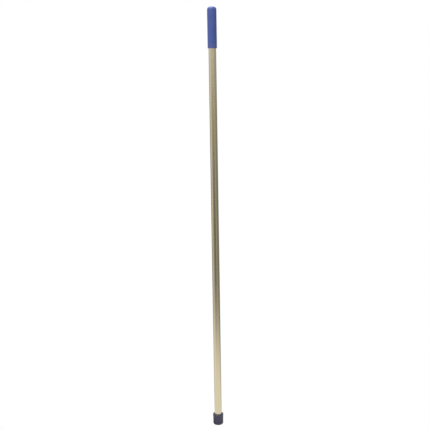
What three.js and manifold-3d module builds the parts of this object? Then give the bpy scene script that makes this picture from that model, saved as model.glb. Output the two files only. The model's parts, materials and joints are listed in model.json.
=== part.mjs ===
// The pole of a telescopic boat hook, closed up. The inner tube slides in the outer tube, and a
// twist-lock collar at the outer tube's lower end clamps it. The hook head's spigot goes into the
// socket in the inner tube's lower end. A vinyl grip covers the outer tube's top.
// Millimetres, +Z up along the pole. The origin is the centre of the socket's lower end face.
import * as THREE from 'three';
import { mergeVertices } from 'three/addons/utils/BufferGeometryUtils.js';
import Module from 'manifold-3d';

const wasm = await Module();
wasm.setup();

// Driving dimensions
const poleLength = 1466;            // closed, over the grip's crown
const outerTube = { radius: 12.7, wall: 1.2, bottom: 22, top: 1456 };
const innerTube = { radius: 10, wall: 1.2, bottom: 3.3, top: 1385 };
const grip = { radius: 15.6, bottom: 1330, cornerRadius: 10.5, crownAngle: 13.3, mouthRound: 0.8 };
const collarRadius = 18.4;          // the fixed flange, the widest part of the pole
const flange = { bottom: 31.5, top: 40.4, round: 1 };
const nut = {
  bottom: 1.5, top: 30.9, topRadius: 18, bottomRadius: 17.7, cornerRadius: 5, rimChamfer: 0.6,
  mouthClearance: 0.7, land: 1.2, fingerGap: 0.4, threadRelief: 0.9,
  ribCount: 24, ribBottom: 7.5, ribTop: 27, grooveRadius: 1.3, grooveDepth: 0.7,
};
const finger = {
  bottom: 6.5, top: 18.5, tipRadius: 11.6, rootRadius: 12.6, count: 6, slot: 1.6, slotRoot: 0.6,
};
const thread = { rootRadius: 14.3, crestRadius: 15.2, pitch: 3, bottom: 22, top: 30.6 };
const threadGap = 0.35;             // radial, between the collet body's thread and the nut's
const spigotRadius = 7;             // bore of the head socket
const spigotDepth = 46;
const socket = { flangeTop: 3, end: 53, mouthChamfer: 0.8, rimChamfer: 0.6 };
const headScrew = { holeRadius: 1.9, height: 25 };
const guideBush = { bore: 5.5, shankLength: 33, headLength: 20, headClearance: 0.5, pinDepth: 17 };
const glideRing = { clearance: 0.25, split: 2 };
const endPlug = { bottom: 1426, cupWall: 1.8, crownThickness: 1, flange: 3, leadIn: [0.5, 1.5] };
const bumpStop = { stemClearance: 2.4, headClearance: 0.6, cone: [3, 4], closedGap: 0.5 };
const overlap = 150;                // stop sleeve's length
const rivet = { height: 65, headRadius: 2.8, headHeight: 1.1, rim: 0.3, shankRecess: 0.2 };
const setScrew = { recess: 0.5, tipGap: 0.4, hexagonRadius: 0.87, hexagonDepth: 1.8 };
const wiper = { lip: 0.35, lipHeight: 0.5, play: 0.25 };
const pinRadius = 1.5;              // cross pins, rivet shanks and set screw are all 3 mm
const mouldedChamfer = 1;           // on the moulded pieces' ends
const fit = 0.3;                    // clearance between neighbouring pieces
const cutBeyond = 2;                // how far a drill starts outside the wall

// Derived places
const flangeMiddle = (flange.bottom + flange.top) / 2;
const outerBore = outerTube.radius - outerTube.wall;
const innerBore = innerTube.radius - innerTube.wall;
const bushBottom = innerTube.top - guideBush.shankLength;
const bushTop = innerTube.top + guideBush.headLength;
const bufferBottom = bushTop + bumpStop.closedGap;
const plugCrown = outerTube.top - endPlug.crownThickness;
const plugFlangeTop = outerTube.top + fit + endPlug.flange;
const gripBore = outerTube.radius + fit;
const slidingBore = innerTube.radius + fit;
const socketPinHeight = (spigotDepth + socket.end) / 2;
const guidePinHeight = innerTube.top - guideBush.pinDepth;
const glideGroove = { radius: 9.4, bottom: innerTube.top + 7, top: innerTube.top + 13 };
const wiperGroove = { radius: 12.3, bottom: nut.bottom + 1.2, top: nut.bottom + 3.2 };

const roundSegments = 48;
const smallSegments = 16;

// Solids of revolution. Profile points are [radius, height], with the solid on the path's left.
function revolve(profile, segments = roundSegments) {
  const points = profile.map(([radius, height]) => new THREE.Vector2(radius, height));
  return new THREE.LatheGeometry(points, segments).rotateX(Math.PI / 2);
}

function revolveRing(profile, segments = roundSegments) {
  return revolve([...profile, profile[0]], segments);
}

function tube(boreRadius, radius, bottom, top) {
  return revolveRing([[boreRadius, bottom], [radius, bottom], [radius, top], [boreRadius, top]]);
}

// A ring whose outline changes on the way round. outlineAt(turn) gives its closed [radius, height]
// outline at a share of the turn from 0 to 1, always with the same number of points.
function sweepRing(outlineAt, segments = roundSegments) {
  const outlines = Array.from({ length: segments }, (_, i) => outlineAt(i / segments));
  const count = outlines[0].length;
  const corners = outlines.flatMap((outline, i) => {
    const angle = (2 * Math.PI * i) / segments;
    return outline.flatMap(([r, z]) => [r * Math.cos(angle), r * Math.sin(angle), z]);
  });
  const faces = outlines.flatMap((outline, i) => outline.flatMap((_, j) => {
    const near = i * count;
    const far = ((i + 1) % segments) * count;
    const next = (j + 1) % count;
    return [near + j, far + j, far + next, near + j, far + next, near + next];
  }));
  const shape = new THREE.BufferGeometry();
  shape.setAttribute('position', new THREE.Float32BufferAttribute(corners, 3));
  return shape.setIndex(faces);
}

// A right-hand thread's share of its full height, 0 at the root and 1 at the crest
function threadShare(turn, z) {
  const phase = THREE.MathUtils.euclideanModulo((z - thread.bottom) / thread.pitch - turn, 1);
  const wave = THREE.MathUtils.clamp(1.5 - Math.abs(4 * phase - 2), 0, 1);
  const runOut = Math.min(z - thread.bottom, thread.top - z);
  return wave * THREE.MathUtils.clamp(runOut, 0, 1);
}

// [radius, height] points up the threaded wall at one share of the turn
function threadedWall(turn, top, clearance) {
  const depth = thread.crestRadius - thread.rootRadius;
  const rows = Math.round((top - thread.bottom) / (thread.pitch / 8));
  return Array.from({ length: rows + 1 }, (_, i) => {
    const z = thread.bottom + ((top - thread.bottom) * i) / rows;
    return [thread.rootRadius + clearance + depth * threadShare(turn, z), z];
  });
}

function arc(centreRadius, centreHeight, radius, fromDegrees, toDegrees, steps) {
  return Array.from({ length: steps + 1 }, (_, i) => {
    const angle = THREE.MathUtils.degToRad(fromDegrees + ((toDegrees - fromDegrees) * i) / steps);
    return [centreRadius + radius * Math.cos(angle), centreHeight + radius * Math.sin(angle)];
  });
}

// A rod along X or Y between two coordinates on that axis, at one height
function rod(axis, radius, from, to, height, segments = smallSegments) {
  const shape = new THREE.CylinderGeometry(radius, radius, to - from, segments);
  shape.translate(0, (from + to) / 2, 0);
  if (axis === 'x') shape.rotateZ(-Math.PI / 2);
  return shape.translate(0, 0, height);
}

// Boolean cuts
function solidOf(geometry) {
  const bare = geometry.clone();
  bare.deleteAttribute('normal');
  bare.deleteAttribute('uv');
  const merged = mergeVertices(bare, 1e-4);
  const corners = merged.index.array;
  const triangles = [];
  for (let i = 0; i < corners.length; i += 3) {
    const [a, b, c] = corners.slice(i, i + 3);
    if (a !== b && b !== c && c !== a) triangles.push(a, b, c);
  }
  return new wasm.Manifold(new wasm.Mesh({
    numProp: 3,
    vertProperties: new Float32Array(merged.attributes.position.array),
    triVerts: new Uint32Array(triangles),
  }));
}

function cut(geometry, tools) {
  const result = tools.reduce((solid, tool) => solid.subtract(solidOf(tool)), solidOf(geometry));
  const { vertProperties, triVerts } = result.getMesh();
  const shape = new THREE.BufferGeometry();
  shape.setAttribute('position', new THREE.BufferAttribute(vertProperties, 3));
  shape.setIndex(new THREE.BufferAttribute(triVerts, 1));
  shape.computeVertexNormals();
  return shape;
}

function pinHole(height) {
  const reach = innerTube.radius + cutBeyond;
  return rod('x', pinRadius + fit, -reach, reach, height);
}

function rivetHole() {
  const reach = outerTube.radius + cutBeyond;
  return rod('y', pinRadius + fit, -reach, reach, rivet.height);
}

// The screw that keeps the hook head on goes in through this hole, at the front only
function headScrewHole() {
  const start = -innerTube.radius - cutBeyond;
  const end = -spigotRadius + cutBeyond;
  return rod('y', headScrew.holeRadius, start, end, headScrew.height);
}

const materials = {
  anodised: { color: 0xb9b08f, roughness: 0.35, metalness: 0.9 },
  bareAluminium: { color: 0xb4b6b8, roughness: 0.4, metalness: 0.9 },
  stainless: { color: 0xa8a8a6, roughness: 0.3, metalness: 1 },
  blueVinyl: { color: 0x565f92, roughness: 0.55, metalness: 0 },
  blackNylon: { color: 0x1d1c22, roughness: 0.5, metalness: 0 },
  naturalNylon: { color: 0xd8d3c4, roughness: 0.5, metalness: 0 },
  blackRubber: { color: 0x141414, roughness: 0.8, metalness: 0 },
  whiteFoam: { color: 0xe8e6df, roughness: 0.95, metalness: 0 },
};

function piece(name, geometry, material) {
  const mesh = new THREE.Mesh(geometry, new THREE.MeshStandardMaterial(materials[material]));
  mesh.name = name;
  return mesh;
}

// Inner section
function makeInnerTube() {
  const wall = tube(innerBore, innerTube.radius, innerTube.bottom, innerTube.top);
  return cut(wall, [headScrewHole(), pinHole(socketPinHeight), pinHole(guidePinHeight)]);
}

function makeHeadSocket() {
  const sleeveRadius = innerBore - fit;
  const { flangeTop, end, mouthChamfer, rimChamfer } = socket;
  const body = revolve([
    [0, spigotDepth], [spigotRadius, spigotDepth], [spigotRadius, mouthChamfer],
    [spigotRadius + mouthChamfer, 0], [innerTube.radius - rimChamfer, 0],
    [innerTube.radius, rimChamfer], [innerTube.radius, flangeTop], [sleeveRadius, flangeTop],
    [sleeveRadius, end - mouldedChamfer], [sleeveRadius - mouldedChamfer, end], [0, end],
  ]);
  return cut(body, [headScrewHole(), pinHole(socketPinHeight)]);
}

function makeCrossPin(height) {
  const reach = innerTube.radius - fit;
  return rod('x', pinRadius, -reach, reach, height);
}

function makeFlotationFoam() {
  const radius = innerBore - fit;
  const bottom = socket.end + fit;
  const top = bushBottom - fit;
  return revolve([[0, bottom], [radius, bottom], [radius, top], [0, top]]);
}

function makeGuideBush() {
  const shank = innerBore - fit;
  const head = outerBore - guideBush.headClearance;
  const shoulder = innerTube.top + fit;
  const body = revolveRing([
    [guideBush.bore, bushBottom], [shank - mouldedChamfer, bushBottom],
    [shank, bushBottom + mouldedChamfer], [shank, shoulder], [head, shoulder],
    [head, glideGroove.bottom], [glideGroove.radius, glideGroove.bottom],
    [glideGroove.radius, glideGroove.top], [head, glideGroove.top],
    [head, bushTop - mouldedChamfer], [head - mouldedChamfer, bushTop], [guideBush.bore, bushTop],
  ]);
  return cut(body, [pinHole(guidePinHeight)]);
}

// The glide ring is split so that it springs into its groove
function makeGlideRing() {
  const radius = outerBore - glideRing.clearance;
  const { bottom, top } = glideGroove;
  const band = tube(glideGroove.radius + fit, radius, bottom + fit, top - fit);
  const split = new THREE.BoxGeometry(glideRing.split, radius, top - bottom);
  split.translate(0, radius, (bottom + top) / 2);
  return cut(band, [split]);
}

// Outer section
function makeOuterTube() {
  return cut(tube(outerBore, outerTube.radius, outerTube.bottom, outerTube.top), [rivetHole()]);
}

function makeStopSleeve() {
  const bottom = outerTube.bottom + fit;
  return cut(tube(slidingBore, outerBore - fit, bottom, bottom + overlap), [rivetHole()]);
}

// side is -1 for the front, where the hook head's screw goes in, and 1 for the back
function makeStopRivet(side) {
  const underHead = outerTube.radius + fit;
  const { headRadius, headHeight, rim } = rivet;
  const inner = slidingBore + rivet.shankRecess;
  const steps = 4;
  const dome = Array.from({ length: steps + 1 }, (_, i) => {
    const angle = (i * Math.PI) / (2 * steps);
    return [headRadius * Math.cos(angle), underHead + rim + (headHeight - rim) * Math.sin(angle)];
  });
  dome[steps][0] = 0;
  const body = revolve(
    [[0, inner], [pinRadius, inner], [pinRadius, underHead], [headRadius, underHead], ...dome], 20,
  );
  return body.rotateX((-side * Math.PI) / 2).translate(0, 0, rivet.height);
}

// The collet body is fixed on the outer tube's end; its slotted fingers reach past the tube
function makeColletBody() {
  const seat = outerTube.bottom - fit;
  const outline = (turn) => [
    [slidingBore, finger.bottom], [finger.tipRadius, finger.bottom],
    [finger.rootRadius, finger.top], [thread.rootRadius, finger.top],
    ...threadedWall(turn, thread.top, 0),
    [thread.rootRadius, flange.bottom], [collarRadius, flange.bottom],
    ...arc(collarRadius - flange.round, flange.top - flange.round, flange.round, 0, 90, 5),
    [gripBore, flange.top], [gripBore, seat], [slidingBore, seat],
  ];
  const slotLength = finger.top - finger.bottom;
  const slots = Array.from({ length: finger.count / 2 }, (_, i) => {
    const slot = new THREE.BoxGeometry(4 * finger.rootRadius, finger.slot, slotLength);
    slot.translate(0, 0, finger.bottom + slotLength / 2 - finger.slotRoot);
    return slot.rotateZ(((i + 0.5) * 2 * Math.PI) / finger.count);
  });
  const [start, end] = [outerTube.radius - cutBeyond, collarRadius + cutBeyond];
  const screwHole = rod('y', pinRadius + fit, start, end, flangeMiddle);
  return cut(sweepRing(outline), [...slots, screwHole]);
}

// A grub screw with a hexagon socket in its outer end
function makeColletSetScrew() {
  const { recess, tipGap, hexagonRadius, hexagonDepth } = setScrew;
  const outerEnd = collarRadius - recess;
  const shank = rod('y', pinRadius, outerTube.radius + tipGap, outerEnd, flangeMiddle);
  const key = rod('y', hexagonRadius, outerEnd - hexagonDepth, outerEnd + cutBeyond, flangeMiddle, 6);
  return cut(shank, [key]);
}

function makeEndPlug() {
  const shank = outerBore - fit;
  const cupRadius = shank - endPlug.cupWall;
  const underFlange = outerTube.top + fit;
  const { bottom, leadIn } = endPlug;
  return revolve([
    [0, plugCrown], [cupRadius, plugCrown], [cupRadius, bottom], [shank - leadIn[0], bottom],
    [shank, bottom + leadIn[1]], [shank, underFlange], [outerTube.radius, underFlange],
    [outerTube.radius, plugFlangeTop], [0, plugFlangeTop],
  ]);
}

function makeBumpStop() {
  const stem = outerBore - bumpStop.stemClearance;
  const head = outerBore - bumpStop.headClearance;
  const shoulder = endPlug.bottom - fit;
  const top = plugCrown - fit;
  return revolve([
    [0, bufferBottom], [head - bumpStop.cone[0], bufferBottom],
    [head, bufferBottom + bumpStop.cone[1]], [head, shoulder], [stem, shoulder], [stem, top], [0, top],
  ]);
}

// The crown is a shallow sphere that runs into a round corner without a step
function makeGrip() {
  const { radius, cornerRadius, crownAngle, bottom, mouthRound } = grip;
  const tilt = THREE.MathUtils.degToRad(crownAngle);
  const cornerCentre = radius - cornerRadius;
  const crownRadius = cornerCentre / Math.sin(tilt) + cornerRadius;
  const crownCentre = poleLength - crownRadius;
  const cornerHeight = crownCentre + (crownRadius - cornerRadius) * Math.cos(tilt);
  const crown = arc(0, crownCentre, crownRadius, 90 - crownAngle, 90, 3);
  crown[3][0] = 0;
  const ceiling = plugFlangeTop + fit;
  return revolve([
    [0, ceiling], [gripBore, ceiling], [gripBore, bottom],
    ...arc(radius - mouthRound, bottom + mouthRound, mouthRound, -90, 0, 3),
    ...arc(cornerCentre, cornerHeight, cornerRadius, 0, 90 - crownAngle, 8),
    ...crown.slice(1),
  ]);
}

// Twist-lock nut. Its cone stays clear of the collet fingers, and closes on them in use.
function makeLockNut() {
  const mouth = innerTube.radius + nut.mouthClearance;
  const landTop = wiperGroove.top + nut.land;
  const threadBore = thread.crestRadius + threadGap;
  const coneTop = finger.top - 1;
  const { bottom, top, topRadius, bottomRadius, cornerRadius, rimChamfer, fingerGap } = nut;
  const outline = (turn) => [
    [mouth, bottom],
    ...arc(bottomRadius - cornerRadius, bottom + cornerRadius, cornerRadius, -90, 0, 6),
    [topRadius, top - rimChamfer], [topRadius - rimChamfer, top], [threadBore, top],
    ...threadedWall(turn, thread.top - 1, threadGap).reverse(),
    [threadBore, thread.bottom - nut.threadRelief], [threadBore, coneTop],
    [finger.rootRadius + fingerGap, coneTop], [finger.tipRadius + fingerGap, landTop],
    [mouth, landTop],
    [mouth, wiperGroove.top], [wiperGroove.radius, wiperGroove.top],
    [wiperGroove.radius, wiperGroove.bottom], [mouth, wiperGroove.bottom],
  ];
  const grooveAxis = topRadius - nut.grooveDepth + nut.grooveRadius;
  const grooves = Array.from({ length: nut.ribCount }, (_, i) => {
    const length = nut.ribTop - nut.ribBottom;
    const groove = new THREE.CylinderGeometry(nut.grooveRadius, nut.grooveRadius, length, 12);
    groove.rotateX(Math.PI / 2).translate(grooveAxis, 0, (nut.ribTop + nut.ribBottom) / 2);
    return groove.rotateZ(((i + 0.5) * 2 * Math.PI) / nut.ribCount);
  });
  return cut(sweepRing(outline), grooves);
}

function makeWiperRing() {
  const { lip, lipHeight, play } = wiper;
  const bottom = wiperGroove.bottom + play;
  const top = wiperGroove.top - play;
  const rim = wiperGroove.radius - fit;
  return revolveRing([
    [slidingBore + lip, bottom], [rim, bottom], [rim, top], [slidingBore + lip, top],
    [slidingBore, top - lipHeight], [slidingBore, bottom + lipHeight],
  ]);
}

const group = new THREE.Group();

const innerSection = new THREE.Group();
innerSection.add(
  piece('inner_tube', makeInnerTube(), 'bareAluminium'),
  piece('head_socket', makeHeadSocket(), 'blackNylon'),
  piece('socket_pin', makeCrossPin(socketPinHeight), 'stainless'),
  piece('flotation_foam', makeFlotationFoam(), 'whiteFoam'),
  piece('guide_bush', makeGuideBush(), 'naturalNylon'),
  piece('guide_pin', makeCrossPin(guidePinHeight), 'stainless'),
  piece('glide_ring', makeGlideRing(), 'naturalNylon'),
);

const outerSection = new THREE.Group();
outerSection.add(
  piece('outer_tube', makeOuterTube(), 'anodised'),
  piece('stop_sleeve', makeStopSleeve(), 'naturalNylon'),
  piece('stop_rivet_front', makeStopRivet(-1), 'stainless'),
  piece('stop_rivet_back', makeStopRivet(1), 'stainless'),
  piece('collet_body', makeColletBody(), 'blackNylon'),
  piece('collet_set_screw', makeColletSetScrew(), 'stainless'),
  piece('end_plug', makeEndPlug(), 'blackNylon'),
  piece('bump_stop', makeBumpStop(), 'blackRubber'),
  piece('grip', makeGrip(), 'blueVinyl'),
);

const lock = new THREE.Group();
lock.add(
  piece('wiper_ring', makeWiperRing(), 'blackRubber'),
  piece('lock_nut', makeLockNut(), 'blackNylon'),
);

group.add(innerSection, outerSection, lock);

export default group;
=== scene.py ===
import cmath
import json
import math

import bmesh
import bpy
from mathutils import Euler, Matrix, Vector


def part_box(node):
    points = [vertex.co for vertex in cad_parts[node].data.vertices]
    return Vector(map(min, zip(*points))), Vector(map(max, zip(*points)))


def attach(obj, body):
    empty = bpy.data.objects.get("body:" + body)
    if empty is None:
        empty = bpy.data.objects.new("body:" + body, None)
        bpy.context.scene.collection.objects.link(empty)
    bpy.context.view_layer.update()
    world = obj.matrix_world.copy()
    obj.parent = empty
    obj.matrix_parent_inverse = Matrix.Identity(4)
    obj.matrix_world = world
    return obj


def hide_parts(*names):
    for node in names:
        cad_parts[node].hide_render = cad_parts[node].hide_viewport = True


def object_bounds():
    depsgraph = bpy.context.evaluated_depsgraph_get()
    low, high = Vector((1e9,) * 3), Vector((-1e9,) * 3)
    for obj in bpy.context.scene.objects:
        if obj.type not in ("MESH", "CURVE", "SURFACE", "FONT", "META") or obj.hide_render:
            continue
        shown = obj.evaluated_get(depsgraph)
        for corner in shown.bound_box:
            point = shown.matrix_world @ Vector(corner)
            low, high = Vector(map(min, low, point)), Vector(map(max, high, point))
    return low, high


# The looks of a telescopic boat-hook pole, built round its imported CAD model. Metres, +Z up along
# the pole. Each solid gets a finer piece with its edges rounded, in a procedural finish.
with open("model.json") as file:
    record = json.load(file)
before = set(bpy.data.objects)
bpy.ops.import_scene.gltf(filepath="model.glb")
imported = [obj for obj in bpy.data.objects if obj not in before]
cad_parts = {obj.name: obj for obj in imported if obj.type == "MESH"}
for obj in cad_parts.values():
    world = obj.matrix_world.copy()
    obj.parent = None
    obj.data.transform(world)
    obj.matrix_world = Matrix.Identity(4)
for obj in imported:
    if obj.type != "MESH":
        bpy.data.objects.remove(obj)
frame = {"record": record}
cad_low, cad_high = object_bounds()

bodies = frame["record"]["behaviour"]["bodies"]
BODY_OF = {node: body for body, nodes in bodies.items() for node in nodes}
SLOT_OF = {part["node"]: part["material_slot"] for part in frame["record"]["subparts"]}

# Sizes that the frame's boxes don't give
FIT = 0.0003                # clearance between neighbouring pieces
TUBE_WALL = 0.0012
PLUG_WALL = 0.0018          # the end plug's, round the bump stop's stem
PIN_RADIUS = 0.0015         # cross pins, rivet shanks and set screw
SPIGOT_RADIUS = 0.007       # the head socket's bore
SPIGOT_DEPTH = 0.046
HEAD_SCREW_RADIUS = 0.0019
HEAD_SCREW_HEIGHT = 0.025
RIBS = 24
RIB_BOTTOM, RIB_TOP = 0.0075, 0.027
RIB_DEPTH = 0.0007
RIB_GROOVE = 0.0026         # a groove's width
RIB_FADE = 0.0015           # the length that a groove fades out over
THREAD_ROOT, THREAD_DEPTH = 0.0143, 0.0009
THREAD_BOTTOM, THREAD_TOP, THREAD_PITCH = 0.022, 0.0306, 0.003
THREAD_GAP = 0.00035
THREAD_FADE = 0.001         # the length that the thread runs out over
THREAD_STEP = THREAD_PITCH / 16     # between rows of points
FINGER_TOP = 0.0185         # the collet's fingers point down from here
FINGER_TIP_RADIUS, FINGER_ROOT_RADIUS = 0.0116, 0.0126
FINGER_SLOT = 0.0016
FINGERS = 6
FLANGE_BOTTOM = 0.0315

CRISP = 0.0002              # the round on a crisp moulded edge
CUT_BEYOND = 0.002          # how far a cutter reaches past a wall
ROUND = 160                 # segments round the pole
FINE_ROUND = 288            # segments round threads and ribs
ON_AXIS = 1e-7              # a point nearer the axis than this is on it

INNER_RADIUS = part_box("inner_tube")[1].x
INNER_BORE = INNER_RADIUS - TUBE_WALL
SLIDING_BORE = INNER_RADIUS + FIT
OUTER_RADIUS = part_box("outer_tube")[1].x
OUTER_BORE = OUTER_RADIUS - TUBE_WALL
GRIP_BORE = OUTER_RADIUS + FIT
RIB_PITCH = 2 * math.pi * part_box("lock_nut")[1].x / RIBS


def middle_height(node):
    low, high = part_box(node)
    return (low.z + high.z) / 2


RIVET_HEIGHT = middle_height("stop_rivet_front")
SOCKET_PIN_HEIGHT = middle_height("socket_pin")
GUIDE_PIN_HEIGHT = middle_height("guide_pin")


# Outlines: lists of (radius, height) points, closed loops or paths from axis to axis

def arc(centre_radius, centre_height, radius, from_degrees, to_degrees, steps):
    sweep = to_degrees - from_degrees
    angles = [math.radians(from_degrees + sweep * k / steps) for k in range(steps + 1)]
    return [(centre_radius + radius * math.cos(a), centre_height + radius * math.sin(a)) for a in angles]


def column(radius_from, height_from, radius_to, height_to, step):
    """Evenly spaced points up or down a wall, both ends included."""
    count = max(1, round(abs(height_to - height_from) / step))
    shares = [k / count for k in range(count + 1)]
    return [(radius_from + (radius_to - radius_from) * s, height_from + (height_to - height_from) * s)
            for s in shares]


def rounded(corners, steps=4):
    """An outline from corners given as (radius, height) or (radius, height, fillet)."""
    points = []
    for i, (radius, height, *fillet) in enumerate(corners):
        here = complex(radius, height)
        if not fillet:
            points.append(here)
            continue
        before = complex(*corners[i - 1][:2]) - here
        after = complex(*corners[(i + 1) % len(corners)][:2]) - here
        before, after = before / abs(before), after / abs(after)
        half = abs(cmath.phase(after / before)) / 2
        bisector = (before + after) / abs(before + after)
        centre = here + bisector * fillet[0] / math.sin(half)
        start = here + before * fillet[0] / math.tan(half) - centre
        end = here + after * fillet[0] / math.tan(half) - centre
        sweep = cmath.phase(end / start)
        points += [centre + start * cmath.exp(1j * sweep * k / steps) for k in range(steps + 1)]
    return [(point.real, point.imag) for point in points]


def wall_outline(node, bore, radius, edge, holes, beside):
    """A tube's wall with ends rounded by edge. It has points beside each hole that will be cut in
    it, so that no long thin face reaches a hole's rim."""
    low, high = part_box(node)
    stops = [height for hole in holes for height in (hole - beside, hole + beside)]
    return rounded([
        (bore, low.z, edge), (radius, low.z, edge), *[(radius, z) for z in stops],
        (radius, high.z, edge), (bore, high.z, edge), *[(bore, z) for z in reversed(stops)],
    ])


# Meshes

def object_of(name, bm):
    bmesh.ops.recalc_face_normals(bm, faces=bm.faces)
    mesh = bpy.data.meshes.new(name)
    bm.to_mesh(mesh)
    bm.free()
    obj = bpy.data.objects.new(name, mesh)
    bpy.context.scene.collection.objects.link(obj)
    return obj


def lathe(name, outline, segments=ROUND, shape=None):
    """The closed body that an outline makes round the Z axis. shape(radius, height, turn) gives a
    point's own radius at a share of the turn from 0 to 1."""
    bm = bmesh.new()
    rings = []
    for radius, height in outline:
        if radius < ON_AXIS:
            rings.append([bm.verts.new((0, 0, height))] * segments)
            continue
        ring = []
        for i in range(segments):
            r = shape(radius, height, i / segments) if shape else radius
            angle = 2 * math.pi * i / segments
            ring.append(bm.verts.new((r * math.cos(angle), r * math.sin(angle), height)))
        rings.append(ring)
    closing = [] if outline[0][0] < ON_AXIS else rings[:1]
    for near, far in zip(rings, rings[1:] + closing):
        for i in range(segments):
            k = (i + 1) % segments
            corners = dict.fromkeys((near[i], near[k], far[k], far[i]))     # three on the axis
            bm.faces.new(corners)
    return object_of(name, bm)


def block(size, centre, turn=0.0):
    """A box-shaped cutter, turned about the Z axis."""
    bm = bmesh.new()
    bmesh.ops.create_cube(bm, size=1)
    bm.transform(Matrix.Rotation(turn, 4, "Z") @ Matrix.Translation(centre) @ Matrix.Diagonal((*size, 1)))
    return object_of("cutter", bm)


TO_FRONT = Matrix.Rotation(math.pi / 2, 4, "X")      # turns +Z to -Y
TO_BACK = Matrix.Rotation(-math.pi / 2, 4, "X")
TO_SIDE = Matrix.Rotation(math.pi / 2, 4, "Y")


def laid(obj, turned, height):
    """The object turned from the Z axis to a cross axis, at that height."""
    obj.data.transform(Matrix.Translation((0, 0, height)) @ turned)
    return obj


def drill(radius, turned, height, start, end, segments=48):
    """A cutter along a cross axis, turned a little so that its corners miss the edges it cuts."""
    cutter = lathe("cutter", [(0, start), (radius, start), (radius, end), (0, end)], segments)
    cutter.data.transform(Matrix.Rotation(0.3 * 2 * math.pi / segments, 4, "Z"))
    return laid(cutter, turned, height)


def cross_hole(height, turned=TO_SIDE):
    reach = OUTER_RADIUS + CUT_BEYOND
    return drill(PIN_RADIUS + FIT, turned, height, -reach, reach)


def head_screw_hole():
    start, end = SPIGOT_RADIUS - CUT_BEYOND, INNER_RADIUS + CUT_BEYOND
    return drill(HEAD_SCREW_RADIUS, TO_FRONT, HEAD_SCREW_HEIGHT, start, end)


def cut(obj, *cutters):
    for cutter in cutters:
        modifier = obj.modifiers.new("cut", "BOOLEAN")
        modifier.operation = "DIFFERENCE"
        modifier.solver = "EXACT"
        modifier.object = cutter
    evaluated = obj.evaluated_get(bpy.context.evaluated_depsgraph_get())
    mesh = bpy.data.meshes.new_from_object(evaluated)
    obj.modifiers.clear()
    obj.data = mesh
    for cutter in cutters:
        bpy.data.objects.remove(cutter)
    return obj


def mark_edges(obj):
    """Stores how sharply the surface bends outwards at each vertex, from 0 to 1, for edge wear."""
    sharpest = math.radians(22)
    bm = bmesh.new()
    bm.from_mesh(obj.data)
    layer = bm.verts.layers.float.new("edge")
    for vertex in bm.verts:
        bend = max((edge.calc_face_angle_signed(0) for edge in vertex.link_edges), default=0)
        vertex[layer] = min(1.0, max(0.0, bend / sharpest))
    bm.to_mesh(obj.data)
    bm.free()


def smooth(obj):
    crease = math.radians(32)
    obj.data.polygons.foreach_set("use_smooth", [True] * len(obj.data.polygons))
    obj.data.set_sharp_from_angle(angle=crease)
    modifier = obj.modifiers.new("weighted_normals", "WEIGHTED_NORMAL")
    modifier.keep_sharp = True


# Inner section

def make_inner_tube():
    holes = HEAD_SCREW_HEIGHT, SOCKET_PIN_HEIGHT, GUIDE_PIN_HEIGHT
    outline = wall_outline("inner_tube", INNER_BORE, INNER_RADIUS, edge=0.00025, holes=holes, beside=0.003)
    tube = lathe("clear_inner_tube", outline)
    return cut(tube, head_screw_hole(), cross_hole(SOCKET_PIN_HEIGHT), cross_hole(GUIDE_PIN_HEIGHT))


def make_head_socket():
    low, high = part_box("head_socket")
    sleeve = INNER_BORE - FIT
    flange = 0.003
    bore_end_round, mouth_round, rim_round, tip_round = 0.0008, 0.0007, 0.0006, 0.001
    outline = rounded([
        (0, SPIGOT_DEPTH), (SPIGOT_RADIUS, SPIGOT_DEPTH, bore_end_round),
        (SPIGOT_RADIUS, low.z, mouth_round), (INNER_RADIUS, low.z, rim_round),
        (INNER_RADIUS, flange, CRISP), (sleeve, flange), (sleeve, high.z, tip_round), (0, high.z),
    ])
    return cut(lathe("moulded_head_socket", outline), head_screw_hole(), cross_hole(SOCKET_PIN_HEIGHT))


def make_cross_pin(node, name):
    """A rolled spring pin: a tube with a slot along it and chamfered ends."""
    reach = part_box(node)[1].x
    bore, chamfer, slot = 0.0008, 0.0003, 0.0004
    outline = [
        (bore, -reach), (PIN_RADIUS - chamfer, -reach), (PIN_RADIUS, -reach + chamfer),
        (PIN_RADIUS, reach - chamfer), (PIN_RADIUS - chamfer, reach), (bore, reach),
    ]
    pin = lathe(name, outline, segments=64)
    slotted = cut(pin, block((slot, 2 * PIN_RADIUS, 3 * reach), (0, PIN_RADIUS, 0)))
    return laid(slotted, TO_SIDE, middle_height(node))


def make_flotation_foam():
    low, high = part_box("flotation_foam")
    cut_end = 0.0008
    outline = rounded([(0, low.z), (high.x, low.z, cut_end), (high.x, high.z, cut_end), (0, high.z)])
    return lathe("foam_core", outline)


def make_guide_bush():
    low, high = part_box("guide_bush")
    ring_low, ring_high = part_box("glide_ring")
    bore, shank, groove = 0.0055, INNER_BORE - FIT, 0.0094
    groove_bottom, groove_top = ring_low.z - FIT, ring_high.z + FIT
    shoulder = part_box("inner_tube")[1].z + FIT
    bore_round, end_round = 0.0005, 0.0009
    outline = rounded([
        (bore, low.z, bore_round), (shank, low.z, end_round), (shank, shoulder), (high.x, shoulder, CRISP),
        (high.x, groove_bottom, CRISP), (groove, groove_bottom), (groove, groove_top),
        (high.x, groove_top, CRISP), (high.x, high.z, end_round), (bore, high.z, bore_round),
    ])
    return cut(lathe("moulded_guide_bush", outline), cross_hole(GUIDE_PIN_HEIGHT))


def make_glide_ring():
    low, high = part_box("glide_ring")
    bore, soft, split, cutter_height = 0.0097, 0.0004, 0.002, 0.01
    outline = rounded([
        (bore, low.z, soft), (high.x, low.z, soft), (high.x, high.z, soft), (bore, high.z, soft),
    ])
    gap = block((split, high.x, cutter_height), (0, high.x, middle_height("glide_ring")))
    return cut(lathe("split_glide_ring", outline), gap)


# Outer section

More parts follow.
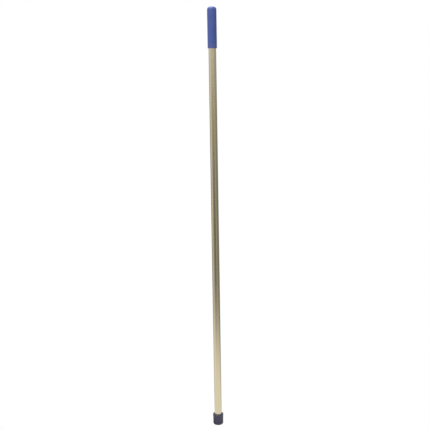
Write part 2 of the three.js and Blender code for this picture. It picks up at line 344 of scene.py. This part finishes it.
def make_riveted_tube(name, node, bore, radius):
    outline = wall_outline(node, bore, radius, edge=0.0003, holes=[RIVET_HEIGHT], beside=0.004)
    return cut(lathe(name, outline), cross_hole(RIVET_HEIGHT, TO_FRONT))


def make_outer_tube():
    return make_riveted_tube("anodised_outer_tube", "outer_tube", OUTER_BORE, OUTER_RADIUS)


def make_stop_sleeve():
    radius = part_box("stop_sleeve")[1].x
    return make_riveted_tube("nylon_stop_sleeve", "stop_sleeve", SLIDING_BORE, radius)


def make_stop_rivet(node, name, turned):
    """A drive rivet: a low dome with its driven pin flush in the middle."""
    low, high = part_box(node)
    inner, top = sorted((abs(low.y), abs(high.y)))
    under = OUTER_RADIUS + FIT
    radius, rim, chamfer = high.x, 0.0003, 0.0001
    pin, groove, groove_depth = 0.0008, 0.0001, 0.00025

    def dome(r):
        return under + rim + (top - under - rim) * math.sqrt(1 - (r / radius) ** 2)

    groove_edge = pin + 2 * groove
    slope = [r for r, _ in arc(groove_edge, 0, radius - groove_edge, 0, 90, steps=12)]
    pin_top = dome(pin)
    groove_floor = pin_top - groove_depth
    outline = [
        (0, inner), (PIN_RADIUS, inner), (PIN_RADIUS, under),
        (radius - chamfer, under), (radius, under + chamfer), *[(r, dome(r)) for r in slope],
        (pin + groove, groove_floor), (pin, groove_floor),
        (pin, pin_top - chamfer), (pin - chamfer, pin_top), (0, pin_top),
    ]
    return laid(lathe(name, outline, segments=72), turned, middle_height(node))


def thread_share(height, turn):
    """A right-hand thread's share of its full depth, 0 at the root and 1 at the crest."""
    phase = ((height - THREAD_BOTTOM) / THREAD_PITCH - turn) % 1
    wave = min(1, max(0, 1.5 - abs(4 * phase - 2)))
    run_out = min(height - THREAD_BOTTOM, THREAD_TOP - height) / THREAD_FADE
    return wave * min(1, max(0, run_out))


def make_collet_body():
    low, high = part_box("collet_body")
    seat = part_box("outer_tube")[0].z - FIT
    rim_round, slot_root = 0.001, 0.0006
    outline = [
        *rounded([
            (GRIP_BORE, seat), (SLIDING_BORE, seat), (SLIDING_BORE, low.z, CRISP),
            (FINGER_TIP_RADIUS, low.z, CRISP), (FINGER_ROOT_RADIUS, FINGER_TOP), (THREAD_ROOT, FINGER_TOP),
        ]),
        *column(THREAD_ROOT, THREAD_BOTTOM, THREAD_ROOT, THREAD_TOP, THREAD_STEP),
        *rounded([
            (THREAD_ROOT, FLANGE_BOTTOM), (high.x, FLANGE_BOTTOM, CRISP), (high.x, high.z, rim_round),
            (GRIP_BORE, high.z, CRISP), (GRIP_BORE, seat),
        ], steps=8)[:-1],
    ]

    def shape(radius, height, turn):
        threaded = radius == THREAD_ROOT and THREAD_BOTTOM < height < THREAD_TOP
        return radius + THREAD_DEPTH * thread_share(height, turn) if threaded else radius

    body = lathe("threaded_collet_body", outline, FINE_ROUND, shape)
    length = FINGER_TOP - low.z
    slot_size = 4 * FINGER_ROOT_RADIUS, FINGER_SLOT, length
    slot_centre = 0, 0, low.z + length / 2 - slot_root
    turns = [2 * math.pi * (i + 0.5) / FINGERS for i in range(FINGERS // 2)]
    slots = [block(slot_size, slot_centre, turn) for turn in turns]
    screw_height = middle_height("collet_set_screw")
    start, end = OUTER_RADIUS - 0.0005, high.x + CUT_BEYOND
    screw_hole = drill(PIN_RADIUS + FIT, TO_BACK, screw_height, start, end)
    return cut(body, *slots, screw_hole)


def make_collet_set_screw():
    """A grub screw with a hexagon socket in its outer end."""
    low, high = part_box("collet_set_screw")
    socket, depth, chamfer = 0.00087, 0.0018, 0.0002
    outline = [
        (0, low.y), (PIN_RADIUS - 2 * chamfer, low.y), (PIN_RADIUS, low.y + 2 * chamfer),
        (PIN_RADIUS, high.y - chamfer), (PIN_RADIUS - chamfer, high.y), (0, high.y),
    ]
    height = middle_height("collet_set_screw")
    screw = laid(lathe("hexagon_set_screw", outline, segments=48), TO_BACK, height)
    return cut(screw, drill(socket, TO_BACK, height, high.y - depth, high.y + 0.001, segments=6))


def make_end_plug():
    low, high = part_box("end_plug")
    crown = 0.001
    shank = OUTER_BORE - FIT
    cup = shank - PLUG_WALL
    tube_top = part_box("outer_tube")[1].z
    cup_end, under_flange = tube_top - crown, tube_top + FIT
    end_round, mouth_round, flange_round = 0.0005, 0.0004, 0.0008
    outline = rounded([
        (0, cup_end), (cup, cup_end, end_round), (cup, low.z, mouth_round), (shank, low.z, end_round),
        (shank, under_flange), (OUTER_RADIUS, under_flange, CRISP), (OUTER_RADIUS, high.z, flange_round),
        (0, high.z),
    ])
    return lathe("moulded_end_plug", outline)


def make_bump_stop():
    low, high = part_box("bump_stop")
    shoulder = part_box("end_plug")[0].z - FIT
    stem, head = OUTER_BORE - PLUG_WALL - 2 * FIT, high.x
    cone_width, cone_height = 0.003, 0.004
    nose_round, cone_round, back_round, stem_round = 0.0015, 0.001, 0.0006, 0.0008
    outline = rounded([
        (0, low.z), (head - cone_width, low.z, nose_round), (head, low.z + cone_height, cone_round),
        (head, shoulder, back_round), (stem, shoulder), (stem, high.z, stem_round), (0, high.z),
    ])
    return lathe("rubber_bump_stop", outline)


def make_grip():
    """Dipped vinyl: a shallow crown running into a round corner, and a wall that is never quite even."""
    low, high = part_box("grip")
    corner, crown_degrees = 0.0105, 13.3
    corner_centre = high.x - corner
    crown = corner_centre / math.sin(math.radians(crown_degrees)) + corner
    crown_centre = high.z - crown
    corner_height = crown_centre + (crown - corner) * math.cos(math.radians(crown_degrees))
    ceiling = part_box("end_plug")[1].z + FIT
    bore_round, mouth_round = 0.0003, 0.0007
    row, wall_start = 0.002, 0.005
    outline = [
        *rounded([
            (0, ceiling), (GRIP_BORE, ceiling), (GRIP_BORE, low.z, bore_round), (high.x, low.z, mouth_round),
            (high.x, low.z + wall_start - row),
        ], steps=6),
        *column(high.x, low.z + wall_start, high.x, corner_height - row, row),
        *arc(corner_centre, corner_height, corner, 0, 90 - crown_degrees, steps=14),
        *arc(0, crown_centre, crown, 90 - crown_degrees, 90, steps=12)[1:-1],
        (0, high.z),
    ]
    waviness, wall = 0.00005, high.x - 0.0001

    def shape(radius, height, turn):
        if radius < wall:
            return radius
        angle = 2 * math.pi * turn
        swell = math.sin(2 * angle + 31 * height) + math.sin(3 * angle - 58 * height) + math.sin(140 * height)
        return radius + waviness * (swell / 3 - 1)

    return lathe("vinyl_grip", outline, ROUND, shape)


# Twist lock

def rib_groove(height, turn):
    """Depth of the finger grooves between the ribs, fading out at their ends."""
    off_centre = abs(turn * RIBS % 1 - 0.5) * RIB_PITCH / (RIB_GROOVE / 2)
    fade = min(1, max(0, min(height - RIB_BOTTOM, RIB_TOP - height) / RIB_FADE))
    return RIB_DEPTH * math.cos(min(1, off_centre) * math.pi / 2) ** 1.5 * math.sin(fade * math.pi / 2)


def make_lock_nut():
    low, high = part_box("lock_nut")
    taper, corner, mouth_round, rim_round = 0.0003, 0.005, 0.0005, 0.0006
    bottom_radius = high.x - taper
    mouth = INNER_RADIUS + 0.0007
    thread_bore = THREAD_ROOT + THREAD_DEPTH + THREAD_GAP
    thread_wall = THREAD_ROOT + THREAD_GAP
    thread_start, relief = THREAD_TOP - 0.001, THREAD_BOTTOM - 0.0009
    wiper_low, wiper_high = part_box("wiper_ring")
    wiper_groove, play = wiper_high.x + FIT, 0.00025
    groove_bottom, groove_top = wiper_low.z - play, wiper_high.z + play
    land = groove_top + 0.0012
    cone_top, finger_gap = FINGER_TOP - 0.001, 0.0004
    row = 0.0004
    wall_start, wall_end = low.z + corner + row, high.z - 0.001
    outline = [
        *rounded([
            (mouth, groove_bottom), (mouth, low.z, mouth_round), (bottom_radius, low.z, corner),
            (bottom_radius, wall_start - row / 2),
        ], steps=12)[1:],
        *column(bottom_radius, wall_start, high.x, wall_end, row),
        *rounded([
            (high.x, wall_end), (high.x, high.z, rim_round), (thread_bore, high.z, CRISP),
            (thread_bore, thread_start),
        ], steps=6)[1:-1],
        *column(thread_wall, thread_start, thread_wall, THREAD_BOTTOM, THREAD_STEP),
        (thread_bore, relief), (thread_bore, cone_top),
        (FINGER_ROOT_RADIUS + finger_gap, cone_top), (FINGER_TIP_RADIUS + finger_gap, land),
        (mouth, land), (mouth, groove_top), (wiper_groove, groove_top), (wiper_groove, groove_bottom),
        (mouth, groove_bottom),
    ]

    def shape(radius, height, turn):
        if radius == thread_wall:
            return radius + THREAD_DEPTH * thread_share(height, turn)
        ribbed = radius >= bottom_radius and RIB_BOTTOM < height < RIB_TOP
        return radius - rib_groove(height, turn) if ribbed else radius

    return lathe("ribbed_lock_nut", outline, FINE_ROUND, shape)


def make_wiper_ring():
    low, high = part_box("wiper_ring")
    lip, lip_height, soft = 0.00035, 0.0005, 0.0001
    lip_root = SLIDING_BORE + lip
    outline = rounded([
        (lip_root, low.z), (high.x, low.z, soft), (high.x, high.z, soft), (lip_root, high.z),
        (SLIDING_BORE, high.z - lip_height, soft), (SLIDING_BORE, low.z + lip_height, soft),
    ])
    return lathe("rubber_wiper_ring", outline)


# Shader nodes

def add(tree, kind, inputs=None, **settings):
    """A node. inputs gives its sockets, by name or number, a value or another node's output."""
    node = tree.nodes.new("ShaderNode" + kind)
    for key, value in settings.items():
        setattr(node, key, value)
    for key, value in (inputs or {}).items():
        if isinstance(value, bpy.types.NodeSocket):
            tree.links.new(value, node.inputs[key])
        else:
            node.inputs[key].default_value = value
    return node


def noise(tree, scale, stretch=(1, 1, 1), shift=0.0, detail=3.0, roughness=0.5):
    """Noise with scale features per metre, drawn out along an axis where stretch is small."""
    where = add(tree, "TexCoord").outputs["Object"]
    mapped = add(tree, "Mapping", {"Vector": where, "Scale": stretch, "Location": (shift, shift, shift)})
    inputs = {"Vector": mapped.outputs[0], "Scale": scale, "Detail": detail, "Roughness": roughness}
    return add(tree, "TexNoise", inputs).outputs[0]


def remap(tree, value, low, high, to_low=0.0, to_high=1.0):
    inputs = {"Value": value, "From Min": low, "From Max": high, "To Min": to_low, "To Max": to_high}
    return add(tree, "MapRange", inputs, interpolation_type="SMOOTHSTEP").outputs[0]


def math_node(tree, operation, first, second):
    return add(tree, "Math", {0: first, 1: second}, operation=operation).outputs[0]


def blend_colour(tree, share, first, second):
    """first where share is 0 and second where it is 1; each is an (r, g, b) or a node's output."""
    first, second = ((*c, 1) if isinstance(c, tuple) else c for c in (first, second))
    return add(tree, "Mix", {0: share, 6: first, 7: second}, data_type="RGBA").outputs[2]


def height_along_pole(tree):
    where = add(tree, "TexCoord").outputs["Object"]
    return add(tree, "SeparateXYZ", {0: where}).outputs["Z"]


def edge_wear(tree, scale=900):
    """Where an outward edge has rubbed, broken up by noise."""
    edge = add(tree, "Attribute", attribute_name="edge").outputs["Fac"]
    broken = math_node(tree, "MULTIPLY", edge, noise(tree, scale, detail=4.0))
    return remap(tree, broken, 0.3, 0.55)


def surface(name, build):
    """A material. build(tree) gives its Principled shader's inputs, a bump height and the bump's depth."""
    material = bpy.data.materials.new(name)
    material.use_nodes = True
    tree = material.node_tree
    tree.nodes.clear()
    inputs, height, depth = build(tree)
    bump = add(tree, "Bump", {"Height": height, "Distance": depth})
    shader = add(tree, "BsdfPrincipled", {**inputs, "Normal": bump.outputs[0]})
    output = add(tree, "OutputMaterial")
    tree.links.new(shader.outputs[0], output.inputs[0])
    return material


ALONG = (1, 1, 0.004)       # stretch of marks that run along the pole
AROUND = (0.06, 0.06, 1)    # stretch of marks that run round it


def anodised_tube(tree):
    """Champagne anodising over a drawn tube: fine lines along it, scuffs, and rub marks round it."""
    lines = noise(tree, 3000, ALONG, shift=0.3, roughness=0.6)
    dye = noise(tree, 14, (1, 1, 0.4), shift=2.0)
    handled = remap(tree, noise(tree, 30, (1, 1, 0.35), shift=5.0, detail=4.0), 0.45, 0.7)
    scratches = remap(tree, noise(tree, 2600, (1, 1, 0.02), shift=9.0, detail=2.0), 0.64, 0.72)
    rub_rings = remap(tree, noise(tree, 1600, AROUND, shift=4.0, detail=2.0), 0.6, 0.75)
    rubbed = math_node(tree, "MULTIPLY", math_node(tree, "ADD", scratches, rub_rings), handled)
    colour = blend_colour(tree, dye, (0.75, 0.65, 0.415), (0.71, 0.615, 0.39))
    colour = blend_colour(tree, remap(tree, lines, 0.35, 0.65, 0.0, 0.4), colour, (0.63, 0.55, 0.35))
    colour = blend_colour(tree, math_node(tree, "MULTIPLY", rubbed, 0.45), colour, (0.80, 0.77, 0.68))
    roughness = remap(tree, lines, 0.3, 0.7, 0.2, 0.26)
    roughness = math_node(tree, "ADD", roughness, math_node(tree, "MULTIPLY", rubbed, 0.06))
    height = math_node(tree, "SUBTRACT", lines, rubbed)
    inputs = {"Base Color": colour, "Metallic": 1.0, "Roughness": roughness, "Coat Weight": 1.0,
              "Coat Roughness": 0.2, "Coat IOR": 1.65}
    return inputs, height, 0.000002


def clear_tube(tree):
    """Clear-anodised aluminium with the long rub marks that sliding leaves."""
    lines = noise(tree, 2200, ALONG, shift=1.3, roughness=0.6)
    slid = remap(tree, noise(tree, 260, ALONG, shift=3.0, detail=2.0), 0.56, 0.68)
    rings = remap(tree, noise(tree, 700, AROUND, shift=8.0, detail=2.0), 0.62, 0.78)
    colour = blend_colour(tree, remap(tree, lines, 0.35, 0.65), (0.80, 0.81, 0.82), (0.70, 0.71, 0.73))
    colour = blend_colour(tree, math_node(tree, "MULTIPLY", slid, 0.4), colour, (0.60, 0.60, 0.62))
    roughness = remap(tree, lines, 0.3, 0.7, 0.24, 0.34)
    roughness = math_node(tree, "ADD", roughness, math_node(tree, "MULTIPLY", rings, 0.1))
    height = math_node(tree, "SUBTRACT", lines, slid)
    return {"Base Color": colour, "Metallic": 1.0, "Roughness": roughness}, height, 0.000004


def stainless(tree):
    grain = noise(tree, 5000, (1, 0.15, 1))
    stains = noise(tree, 900, shift=2.0)
    colour = blend_colour(tree, stains, (0.62, 0.60, 0.55), (0.72, 0.70, 0.64))
    roughness = remap(tree, grain, 0.3, 0.7, 0.24, 0.4)
    return {"Base Color": colour, "Metallic": 1.0, "Roughness": roughness}, grain, 0.000005


def vinyl(tree):
    """Dip-moulded vinyl: soft orange peel, slow mottling, faint scuffs, and a painted reflection of the tube
    that greys the mouth.
    """
    low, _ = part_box("grip")
    mottle = noise(tree, 45, (1, 1, 0.5), shift=1.0, detail=4.0)
    peel = noise(tree, 900, shift=3.0, detail=2.0)
    grain = noise(tree, 5200, shift=6.0, detail=2.0)
    specks = remap(tree, noise(tree, 2600, shift=7.0, detail=1.0), 0.74, 0.8)
    handled = remap(tree, noise(tree, 38, shift=12.0, detail=4.0), 0.42, 0.66)
    scuffs = remap(tree, noise(tree, 1500, (1, 1, 0.05), shift=8.0, detail=2.0), 0.6, 0.72)
    scuffs = math_node(tree, "MULTIPLY", scuffs, handled)
    colour = blend_colour(tree, remap(tree, mottle, 0.3, 0.7), (0.048, 0.087, 0.343), (0.063, 0.111, 0.370))
    # painted reflection of the tube: the colour turns greyer over the lowest 20 mm, towards the mouth
    painted_tube_reflection = remap(tree, height_along_pole(tree), low.z, low.z + 0.02, 0.35, 0.0)
    colour = blend_colour(tree, painted_tube_reflection, colour, (0.12, 0.13, 0.25))
    worn = math_node(tree, "MAXIMUM", math_node(tree, "MULTIPLY", specks, 0.3), edge_wear(tree))
    worn = math_node(tree, "MAXIMUM", worn, math_node(tree, "MULTIPLY", scuffs, 0.45))
    colour = blend_colour(tree, math_node(tree, "MULTIPLY", worn, 0.35), colour, (0.22, 0.27, 0.5))
    roughness = remap(tree, mottle, 0.3, 0.7, 0.38, 0.52)
    roughness = math_node(tree, "ADD", roughness, math_node(tree, "MULTIPLY", scuffs, 0.12))
    height = math_node(tree, "ADD", peel, math_node(tree, "MULTIPLY", grain, 0.15))
    return {"Base Color": colour, "Roughness": roughness, "IOR": 1.52}, height, 0.0001


def black_nylon(tree):
    """Moulded nylon with a fine eroded grain, rubbed paler and smoother on its edges."""
    mottle = noise(tree, 120, shift=1.0, detail=4.0)
    grain = noise(tree, 3800, shift=4.0, detail=2.0)
    colour = blend_colour(tree, mottle, (0.039, 0.035, 0.068), (0.052, 0.047, 0.084))
    worn = edge_wear(tree)
    colour = blend_colour(tree, math_node(tree, "MULTIPLY", worn, 0.5), colour, (0.15, 0.145, 0.17))
    roughness = remap(tree, mottle, 0.3, 0.7, 0.38, 0.48)
    roughness = math_node(tree, "SUBTRACT", roughness, math_node(tree, "MULTIPLY", worn, 0.1))
    return {"Base Color": colour, "Roughness": roughness, "IOR": 1.53}, grain, 0.00003


def natural_nylon(tree):
    mottle = noise(tree, 90, shift=2.0, detail=4.0)
    grain = noise(tree, 3000, shift=5.0, detail=2.0)
    colour = blend_colour(tree, mottle, (0.78, 0.74, 0.62), (0.70, 0.66, 0.55))
    roughness = remap(tree, mottle, 0.3, 0.7, 0.42, 0.52)
    inputs = {"Base Color": colour, "Roughness": roughness, "IOR": 1.53, "Subsurface Weight": 0.15,
              "Subsurface Scale": 0.002}
    return inputs, grain, 0.00002


def rubber(tree):
    bloom = noise(tree, 150, shift=3.0, detail=4.0)
    grain = noise(tree, 4000, shift=1.0)
    colour = blend_colour(tree, bloom, (0.016, 0.016, 0.017), (0.034, 0.034, 0.036))
    roughness = remap(tree, bloom, 0.3, 0.7, 0.68, 0.82)
    return {"Base Color": colour, "Roughness": roughness, "IOR": 1.52}, grain, 0.00004


def foam(tree):
    """Closed-cell foam: small round cells over a slightly yellowed white."""
    where = add(tree, "TexCoord").outputs["Object"]
    voronoi = add(tree, "TexVoronoi", {"Vector": where, "Scale": 1100.0}, feature="SMOOTH_F1")
    cells = voronoi.outputs["Distance"]
    yellowed = noise(tree, 60, detail=4.0)
    colour = blend_colour(tree, yellowed, (0.86, 0.84, 0.76), (0.78, 0.76, 0.70))
    colour = blend_colour(tree, remap(tree, cells, 0.1, 0.5, 0.0, 0.25), colour, (0.6, 0.58, 0.53))
    return {"Base Color": colour, "Roughness": remap(tree, cells, 0.0, 0.6, 0.8, 0.95)}, cells, 0.0004


finishes = {
    "gold_anodised_tube": surface("champagne_anodising", anodised_tube),
    "bare_aluminium_tube": surface("clear_anodising", clear_tube),
    "stainless_fastener": surface("satin_stainless", stainless),
    "blue_vinyl": surface("blue_vinyl", vinyl),
    "black_moulding": surface("black_nylon", black_nylon),
    "natural_nylon": surface("natural_nylon", natural_nylon),
    "black_rubber": surface("black_rubber", rubber),
    "closed_cell_foam": surface("closed_cell_foam", foam),
}


# Pieces

def stand_for(piece, node):
    """Shows the piece in the node's place, in the finish of its slot and riding on its body."""
    slot = SLOT_OF[node]
    piece.data.materials.clear()
    piece.data.materials.append(finishes[slot])
    mark_edges(piece)
    smooth(piece)
    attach(piece, BODY_OF[node])
    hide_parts(node)


for node, piece in {
    "inner_tube": make_inner_tube(),
    "head_socket": make_head_socket(),
    "socket_pin": make_cross_pin("socket_pin", "rolled_socket_pin"),
    "flotation_foam": make_flotation_foam(),
    "guide_bush": make_guide_bush(),
    "guide_pin": make_cross_pin("guide_pin", "rolled_guide_pin"),
    "glide_ring": make_glide_ring(),
    "outer_tube": make_outer_tube(),
    "stop_sleeve": make_stop_sleeve(),
    "stop_rivet_front": make_stop_rivet("stop_rivet_front", "drive_rivet_front", TO_FRONT),
    "stop_rivet_back": make_stop_rivet("stop_rivet_back", "drive_rivet_back", TO_BACK),
    "collet_body": make_collet_body(),
    "collet_set_screw": make_collet_set_screw(),
    "end_plug": make_end_plug(),
    "bump_stop": make_bump_stop(),
    "grip": make_grip(),
    "wiper_ring": make_wiper_ring(),
    "lock_nut": make_lock_nut(),
}.items():
    stand_for(piece, node)


# Studio

def add_camera():
    """Level with the grip's mouth and tipped down the pole, which leans a little in the picture."""
    distance, lens, farthest = 2.988, 73.95, 200
    data = bpy.data.cameras.new("camera")
    data.lens = lens
    data.clip_end = farthest
    camera = bpy.data.objects.new("camera", data)
    tilt_down, roll = math.radians(10.69), math.radians(-0.92)
    turned = Euler((math.pi / 2 - tilt_down, 0, 0)).to_matrix().to_4x4() @ Matrix.Rotation(roll, 4, "Z")
    camera.matrix_world = Matrix.Translation((0, -distance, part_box("grip")[0].z)) @ turned
    bpy.context.scene.collection.objects.link(camera)
    bpy.context.scene.camera = camera


def x_ramp(tree, x, stops):
    """The light from left to right, from (x, level, warmth) stops."""
    across = add(tree, "MapRange", {"Value": x, "From Min": -1.0, "From Max": 1.0}).outputs[0]
    ramp = add(tree, "ValToRGB", {0: across})
    ramp.color_ramp.interpolation = "EASE"
    elements = ramp.color_ramp.elements
    while len(elements) < len(stops):
        elements.new(0.5)
    for element, (place, _, _) in zip(elements, stops):
        element.position = (place + 1) / 2
    for element, (_, level, warmth) in zip(elements, stops):
        element.color = (level, level * (1 - 0.1 * warmth), level * (1 - warmth), 1)
    return ramp.outputs[0]


def add_world():
    """A white room seen directly; in reflections and as light it is bright above, dim below the
    horizon except on the left, and dimmer behind the pole."""
    world = bpy.data.worlds.new("studio")
    bpy.context.scene.world = world
    world.use_nodes = True
    tree = world.node_tree
    tree.nodes.clear()
    direction = add(tree, "SeparateXYZ", {0: add(tree, "TexCoord").outputs["Generated"]})
    below = x_ramp(tree, direction.outputs["X"], [
        (-1, 0.8, 0.0), (-0.87, 0.39, 0.0), (-0.4, 0.11, 0.25), (0.1, 0.1, 0.25), (0.5, 0.37, 0.05),
        (1, 0.21, 0.0),
    ])
    above = x_ramp(tree, direction.outputs["X"], [
        (-1, 0.85, 0.0), (-0.5, 0.9, 0.0), (0, 1.1, 0.0), (0.5, 0.75, 0.0), (1, 0.65, 0.0),
    ])
    rise = remap(tree, direction.outputs["Z"], -0.13, 0.1)
    light = blend_colour(tree, rise, below, above)
    behind = remap(tree, direction.outputs["Y"], 0.25, 0.8, 1.0, 0.55)
    studio = add(tree, "Background", {"Color": light, "Strength": behind}).outputs[0]
    white = add(tree, "Background", {"Color": (1, 1, 1, 1)}).outputs[0]
    seen = add(tree, "LightPath").outputs["Is Camera Ray"]
    mixed = add(tree, "MixShader", {0: seen, 1: studio, 2: white}).outputs[0]
    output = add(tree, "OutputWorld")
    tree.links.new(mixed, output.inputs[0])


def distance_from(tree, point):
    where = add(tree, "TexCoord").outputs["Object"]
    return add(tree, "VectorMath", {0: where, 1: point}, operation="DISTANCE").outputs["Value"]


def disc(name, radius, height):
    """A flat disc that faces up."""
    bm = bmesh.new()
    bmesh.ops.create_circle(bm, cap_ends=True, segments=96, radius=radius)
    bmesh.ops.translate(bm, verts=bm.verts, vec=(0, 0, height))
    obj = object_of(name, bm)
    if obj.data.polygons[0].normal.z < 0:
        obj.data.flip_normals()
    return obj


def glowing(name, build):
    """An emission material. build(tree) gives its strength and how much of it covers what is behind."""
    material = bpy.data.materials.new(name)
    material.use_nodes = True
    tree = material.node_tree
    tree.nodes.clear()
    strength, cover = build(tree)
    glow = add(tree, "Emission", {"Strength": strength}).outputs[0]
    clear = add(tree, "BsdfTransparent").outputs[0]
    mixed = add(tree, "MixShader", {0: cover, 1: clear, 2: glow}).outputs[0]
    tree.links.new(mixed, add(tree, "OutputMaterial").inputs[0])
    return material


def add_floor():
    """The pale floor that the camera sees from above, and an unseen bright sheet round the pole's
    foot that lights the pole."""
    def seen_from_above(tree):
        return 1.0, math_node(tree, "SUBTRACT", 1.0, add(tree, "NewGeometry").outputs["Backfacing"])

    def lit(tree):
        """Dim close to the pole, dimmer behind it, from further back on its left, and clear towards
        the rim."""
        middle, shade_middle = (-0.1, 0, 0), (-0.02, 0, 0)
        place = add(tree, "SeparateXYZ", {0: add(tree, "TexCoord").outputs["Object"]})
        left = math_node(tree, "MULTIPLY", math_node(tree, "MINIMUM", place.outputs["X"], 0.0), 0.28)
        shade = remap(tree, distance_from(tree, shade_middle), 0.0, 0.11, 0.05, 0.93)
        behind = remap(tree, math_node(tree, "ADD", place.outputs["Y"], left), 0.0, 0.15, 1.0, 0.55)
        cover = remap(tree, distance_from(tree, middle), 0.36, 1.95, 1.0, 0.0)
        return math_node(tree, "MULTIPLY", shade, behind), cover

    floor = disc("floor", radius=60, height=cad_low.z - 0.002)
    floor.data.materials.append(glowing("pale_floor", seen_from_above))
    floor.visible_diffuse = floor.visible_glossy = floor.visible_transmission = floor.visible_shadow = False
    sheet = disc("floor_sheet", radius=2.6, height=cad_low.z - 0.004)
    sheet.data.materials.append(glowing("bright_sheet", lit))
    sheet.visible_camera = sheet.visible_shadow = False


def add_softbox(name, place, aim, size, power):
    """A square soft light at place that faces aim. The camera doesn't see it."""
    data = bpy.data.lights.new(name, "AREA")
    data.shape = "SQUARE"
    data.size = size
    data.energy = power
    light = bpy.data.objects.new(name, data)
    away = Vector(place) - Vector(aim)
    light.matrix_world = Matrix.Translation(place) @ away.to_track_quat("Z", "Y").to_matrix().to_4x4()
    light.visible_camera = False
    bpy.context.scene.collection.objects.link(light)


add_camera()
add_world()
add_floor()
grip_middle = (0, 0, middle_height("grip"))
add_softbox("key_light", (-2.0, -4.0, 4.6), grip_middle, size=5.0, power=118)
add_softbox("top_light", (-0.5, 1.4, 4.6), grip_middle, size=2.6, power=120)

scene = bpy.context.scene
scene.view_settings.view_transform = "Standard"
scene.view_settings.look = "None"
